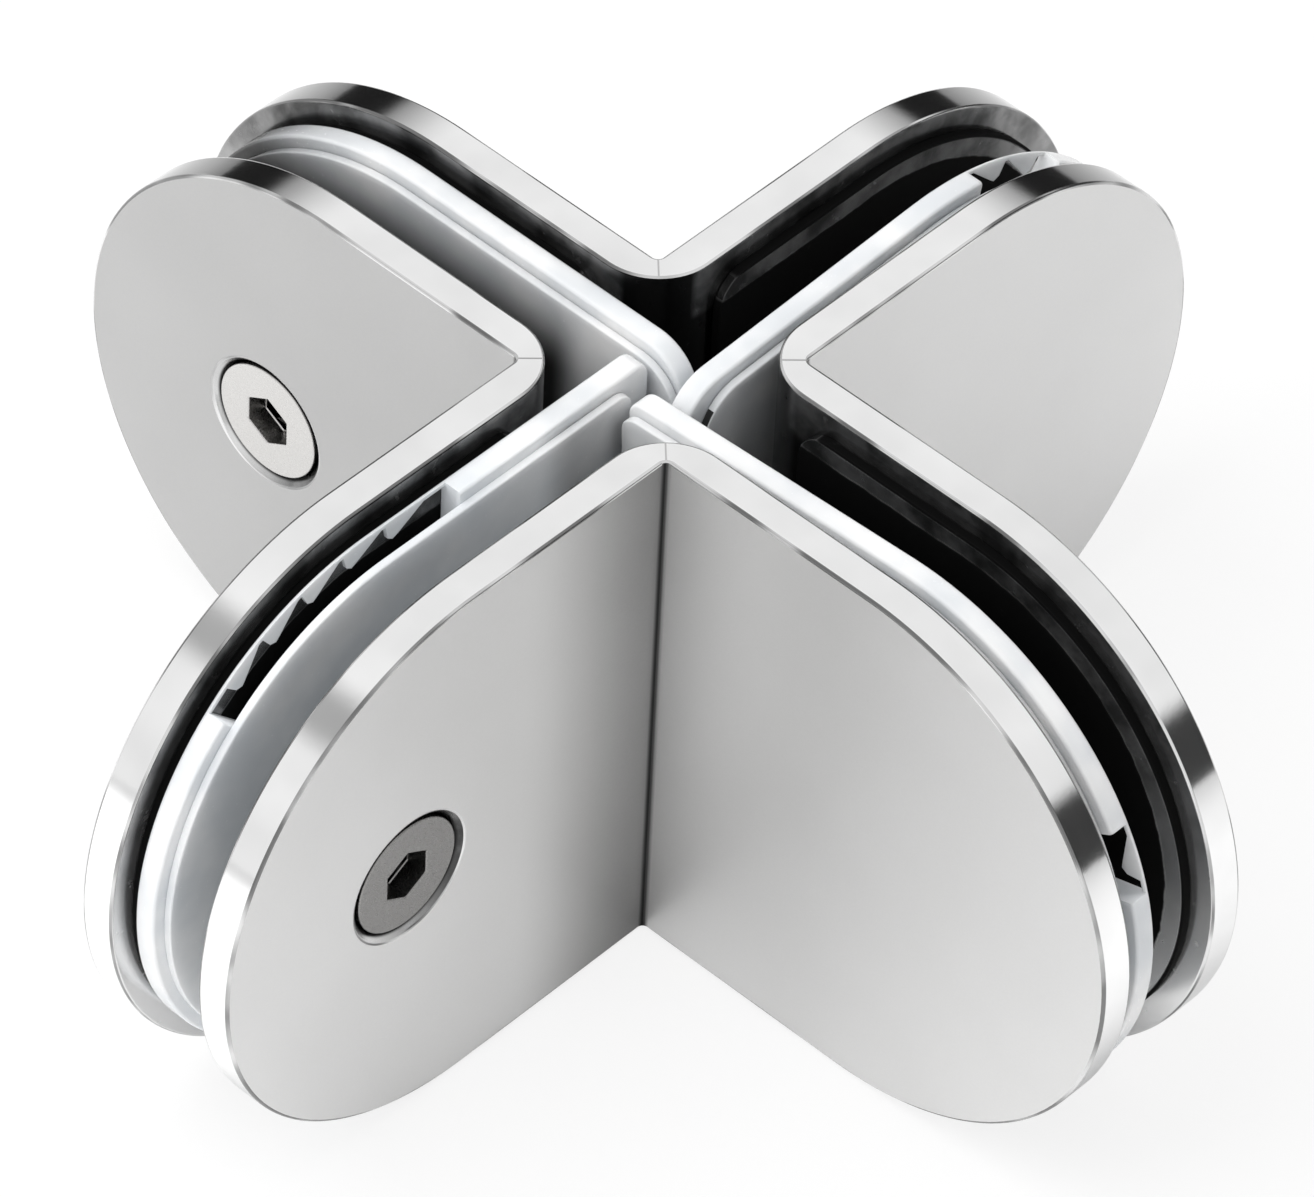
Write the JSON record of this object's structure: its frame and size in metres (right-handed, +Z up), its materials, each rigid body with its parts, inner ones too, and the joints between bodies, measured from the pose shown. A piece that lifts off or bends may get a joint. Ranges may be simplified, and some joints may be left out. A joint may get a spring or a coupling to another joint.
{
  "type": "four-way glass clamp",
  "caption": "Cross-shaped glass clamp of round-ended steel angle plates, screwed together over rubber gaskets and white spacer pads to hold panes edge to edge at right angles.",
  "frame": {"origin": "where the mid-planes of the glass slots cross, at half the height of the plates", "axes": "arms along +X, +Y, -X and -Y; +Z up, along the line in which the slots cross"},
  "size_m": [0.105, 0.105, 0.05],
  "materials": {
    "satin_steel": "satin faces with bright polished edges",
    "black_rubber": "matte",
    "white_plastic": "smooth, slightly translucent",
    "screw_steel": "satin"
  },
  "bodies": {
    "root": {"back_right_plate": "satin_steel", "back_left_plate": "satin_steel", "front_left_plate": "satin_steel", "front_right_plate": "satin_steel", "right_head_gasket": "black_rubber", "back_head_gasket": "black_rubber", "left_head_gasket": "black_rubber", "front_head_gasket": "black_rubber", "right_boss_gasket": "black_rubber", "back_boss_gasket": "black_rubber", "left_boss_gasket": "black_rubber", "front_boss_gasket": "black_rubber", "right_thick_pad": "white_plastic", "back_thick_pad": "white_plastic", "left_thick_pad": "white_plastic", "front_thick_pad": "white_plastic", "right_thin_pad": "white_plastic", "back_thin_pad": "white_plastic", "left_thin_pad": "white_plastic", "front_thin_pad": "white_plastic", "right_screw": "screw_steel", "back_screw": "screw_steel", "left_screw": "screw_steel", "front_screw": "screw_steel"}
  },
  "joints": []
}
